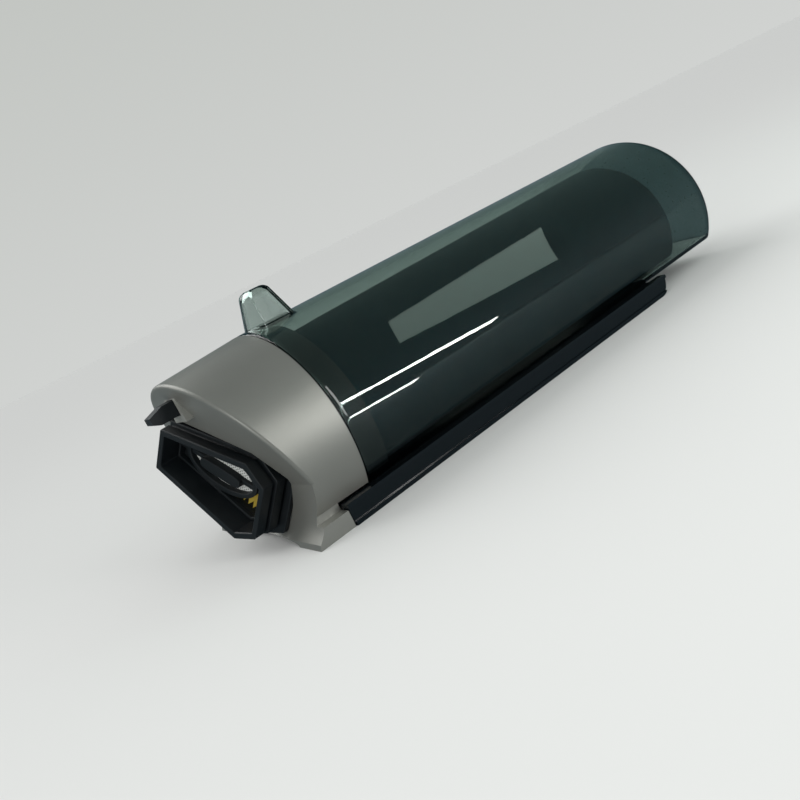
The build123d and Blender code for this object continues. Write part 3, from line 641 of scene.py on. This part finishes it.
# Latch guide: pale grey acetal moulding clipped into the lid's wall. Slightly waxy, with fine moulded
# grain of about 0.5 mm.
acetal = bpy.data.materials.new("pale_grey_acetal")
acetal.use_nodes = True
tree = acetal.node_tree
shader = tree.nodes["Principled BSDF"]
shader.inputs["IOR"].default_value = 1.48
shader.inputs["Base Color"].default_value = linear("#84857f")
place = add(tree, "ShaderNodeTexCoord")
grain = add(tree, "ShaderNodeTexNoise", {"Vector": place.outputs["Object"], "Scale": 2000.0, "Detail": 3.0})
rough = add(tree, "ShaderNodeMapRange", {"Value": grain.outputs["Fac"], "To Min": 0.3, "To Max": 0.5})
tree.links.new(rough.outputs["Result"], shader.inputs["Roughness"])
bump = add(tree, "ShaderNodeBump", {"Height": grain.outputs["Fac"], "Strength": 0.1, "Distance": 0.00005})
tree.links.new(bump.outputs["Normal"], shader.inputs["Normal"])
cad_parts["latch_guide"].data.materials[0] = acetal

# Float: closed-cell white polyethylene foam, loose in its cage. Chalky, with a skin of small cells
# of about 0.8 mm.
foam = bpy.data.materials.new("white_polyethylene_foam")
foam.use_nodes = True
tree = foam.node_tree
shader = tree.nodes["Principled BSDF"]
shader.inputs["IOR"].default_value = 1.5
shader.inputs["Base Color"].default_value = linear("#e2e2dc")
place = add(tree, "ShaderNodeTexCoord")
cells = add(tree, "ShaderNodeTexVoronoi", {"Vector": place.outputs["Object"], "Scale": 1250.0})
rough = add(tree, "ShaderNodeMapRange", {"Value": cells.outputs["Distance"], "To Min": 0.6, "To Max": 0.85})
tree.links.new(rough.outputs["Result"], shader.inputs["Roughness"])
bump = add(tree, "ShaderNodeBump", {"Height": cells.outputs["Distance"], "Strength": 0.4,
                                    "Distance": 0.00015})
tree.links.new(bump.outputs["Normal"], shader.inputs["Normal"])
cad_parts["float_body"].data.materials[0] = foam

# Screws and latch spring: plain zinc-plated steel. Grey mirror dulled by fine drawn lines along the
# wire and a cloudy plating.
steel = bpy.data.materials.new("zinc_plated_steel")
steel.use_nodes = True
tree = steel.node_tree
shader = tree.nodes["Principled BSDF"]
shader.inputs["Base Color"].default_value = linear("#b4b6b8")
shader.inputs["Metallic"].default_value = 1.0
place = add(tree, "ShaderNodeTexCoord")
drawn = add(tree, "ShaderNodeMapping", {"Vector": place.outputs["Object"], "Scale": (300, 4000, 4000)})
lines = add(tree, "ShaderNodeTexNoise", {"Vector": drawn.outputs["Vector"], "Scale": 1.0, "Detail": 3.0})
rough = add(tree, "ShaderNodeMapRange", {"Value": lines.outputs["Fac"], "From Min": 0.3, "From Max": 0.7,
                                         "To Min": 0.2, "To Max": 0.38})
tree.links.new(rough.outputs["Result"], shader.inputs["Roughness"])
bump = add(tree, "ShaderNodeBump", {"Height": lines.outputs["Fac"], "Strength": 0.1, "Distance": 0.00002})
tree.links.new(bump.outputs["Normal"], shader.inputs["Normal"])
for name in ("collar_screws", "latch_spring"):
    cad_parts[name].data.materials[0] = steel

# Studio: a wide pale paper floor in even light from all round and soft light from behind. The gloss sees
# a dim room instead, with two bright strip lights and a grey panel.
FLOOR_HALF = 30.0
mesh = bpy.data.meshes.new("paper_floor")
mesh.from_pydata([Vector((x, y, 0)) for x, y in ((-FLOOR_HALF, -FLOOR_HALF), (FLOOR_HALF, -FLOOR_HALF),
                                                 (FLOOR_HALF, FLOOR_HALF), (-FLOOR_HALF, FLOOR_HALF))],
                 [], [(0, 1, 2, 3)])
floor = bpy.data.objects.new("paper_floor", mesh)
bpy.context.collection.objects.link(floor)
backdrop = bpy.data.materials.new("white_backdrop_paper")
backdrop.use_nodes = True
tree = backdrop.node_tree
shader = tree.nodes["Principled BSDF"]
ray = add(tree, "ShaderNodeLightPath")
mirrored = add(tree, "ShaderNodeMath", {0: ray.outputs["Is Glossy Ray"],
                                        1: ray.outputs["Is Transmission Ray"]},
               operation="SUBTRACT", use_clamp=True)
shade = add(tree, "ShaderNodeMix", {"Factor": mirrored.outputs["Value"]}, data_type="RGBA")
shade.inputs[6].default_value = linear("#dcdddb")
shade.inputs[7].default_value = linear("#66767d")
tree.links.new(shade.outputs[2], shader.inputs["Base Color"])
shader.inputs["Roughness"].default_value = 0.9
shader.inputs["Specular IOR Level"].default_value = 0.1
mesh.materials.append(backdrop)


def area_light(name, place, aim, width, height, power, along=None):
    """Rectangular lamp at place that faces aim; along is the direction of its width."""
    data = bpy.data.lights.new(name, "AREA")
    data.shape = "RECTANGLE"
    data.size = width
    data.size_y = height
    data.energy = power
    lamp = bpy.data.objects.new(name, data)
    back = (Vector(place) - Vector(aim)).normalized()
    side = Vector(along) if along else Vector((0, 0, 1)).cross(back)
    side = (side - back * side.dot(back)).normalized()
    turned = Matrix((side, back.cross(side), back)).transposed().to_4x4()
    lamp.matrix_world = Matrix.Translation(place) @ turned
    bpy.context.collection.objects.link(lamp)
    return lamp


area_light("strip_upper", (0.366, -0.699, 0.176), (-0.05, -0.047, 0.036), 0.330, 0.022, 1.1,
           (0.222, 0.068, -0.161))
area_light("strip_lower", (0.1127, -0.3955, 0.022), (-0.08, -0.047, 0.033), 0.092, 0.010, 0.10,
           (0.081, 0.025, -0.036))
area_light("lid_light", (0.123, -0.749, 0.330), (-0.107, -0.045, 0.04), 0.16, 0.50, 1.4)

sun_data = bpy.data.lights.new("back_sun", "SUN")
sun_data.energy = 1.3
sun_data.angle = math.radians(50)
sun = bpy.data.objects.new("back_sun", sun_data)
sun.matrix_world = Vector((-0.25, 0.70, 0.67)).to_track_quat("Z", "Y").to_matrix().to_4x4()
bpy.context.collection.objects.link(sun)
area_light("mouth_light", (-0.95, -0.40, 0.32), (-0.13, -0.01, 0.03), 0.45, 0.45, 2.0)

PANEL_AWAY = 0.8
PANEL_COLUMNS = 12
PANEL_ROWS = 8
PANEL_MIDDLE = Vector((JOINT_X, -0.042, 0.049))
PANEL_NEAR = (0.0375, 0.549, 112.7, 141.2)
PANEL_FAR = (0.1300, 0.720, 105.9, 156.0)
verts = []
faces = []
for column in range(PANEL_COLUMNS + 1):
    x, slope, upper, lower = (a + (b - a) * column / PANEL_COLUMNS for a, b in zip(PANEL_NEAR, PANEL_FAR))
    around = math.sqrt(1 - slope ** 2)
    for row in range(PANEL_ROWS + 1):
        turn = math.radians(upper + (lower - upper) * row / PANEL_ROWS)
        aim = Vector((slope, around * math.cos(turn), around * math.sin(turn)))
        verts.append(PANEL_MIDDLE + Vector((x, 0, 0)) + aim * PANEL_AWAY)
for column in range(PANEL_COLUMNS):
    for row in range(PANEL_ROWS):
        i = (PANEL_ROWS + 1) * column + row
        faces.append((i, i + 1, i + PANEL_ROWS + 2, i + PANEL_ROWS + 1))
mesh = bpy.data.meshes.new("grey_panel")
mesh.from_pydata(verts, [], faces)
panel = bpy.data.objects.new("grey_panel", mesh)
bpy.context.collection.objects.link(panel)
panel_glow = bpy.data.materials.new("lit_grey_panel")
panel_glow.use_nodes = True
tree = panel_glow.node_tree
shader = tree.nodes["Principled BSDF"]
shader.inputs["Base Color"].default_value = (0, 0, 0, 1)
shader.inputs["Emission Color"].default_value = linear("#b4c8c0")
shader.inputs["Emission Strength"].default_value = 2.6
mesh.materials.append(panel_glow)

world = bpy.data.worlds.new("studio")
bpy.context.scene.world = world
world.use_nodes = True
tree = world.node_tree
ray = add(tree, "ShaderNodeLightPath")
sky = tree.nodes["Background"]
mirrored = add(tree, "ShaderNodeMath", {0: ray.outputs["Is Glossy Ray"],
                                        1: ray.outputs["Is Transmission Ray"]},
               operation="SUBTRACT", use_clamp=True)
place = add(tree, "ShaderNodeTexCoord")
aim = add(tree, "ShaderNodeSeparateXYZ", {"Vector": place.outputs["Generated"]})
height = add(tree, "ShaderNodeMapRange", {"Value": aim.outputs["Z"], "From Min": 0.0, "From Max": 0.45})
room = add(tree, "ShaderNodeMix", {"Factor": height.outputs["Result"]}, data_type="RGBA")
room.inputs[6].default_value = linear("#66767d")
room.inputs[7].default_value = linear("#3d5458")
direct = add(tree, "ShaderNodeMath", {0: ray.outputs["Is Camera Ray"], 1: ray.outputs["Is Transmission Ray"]},
             operation="ADD", use_clamp=True)
behind = add(tree, "ShaderNodeMix", {"Factor": height.outputs["Result"]}, data_type="RGBA")
behind.inputs[6].default_value = linear("#d0d2d0")
behind.inputs[7].default_value = linear("#c0c3bf")
open_air = add(tree, "ShaderNodeMix", {"Factor": direct.outputs["Value"]}, data_type="RGBA")
open_air.inputs[6].default_value = linear("#cbcccc")
tree.links.new(behind.outputs[2], open_air.inputs[7])
seen = add(tree, "ShaderNodeMix", {"Factor": mirrored.outputs["Value"]}, data_type="RGBA")
tree.links.new(open_air.outputs[2], seen.inputs[6])
tree.links.new(room.outputs[2], seen.inputs[7])
tree.links.new(seen.outputs[2], sky.inputs["Color"])

# Camera: above the lid's near corner, looking down along the tank, and turned about its line of sight
# so that the tank rises to the upper right.
camera_data = bpy.data.cameras.new("camera")
camera_data.sensor_width = 36.0
camera_data.lens = 34.83
camera = bpy.data.objects.new("camera", camera_data)
right = Vector((0.71777, -0.54725, -0.43048))
up = Vector((0.47761, -0.06289, 0.87632))
toward = Vector((-0.50664, -0.83460, 0.21623))
place = Vector((-0.118341 + JOINT_X, -0.281171, 0.089608))
camera.matrix_world = Matrix.Translation(place) @ Matrix((right, up, toward)).transposed().to_4x4()
bpy.context.collection.objects.link(camera)
bpy.context.scene.camera = camera
bpy.context.scene.view_settings.view_transform = "Standard"
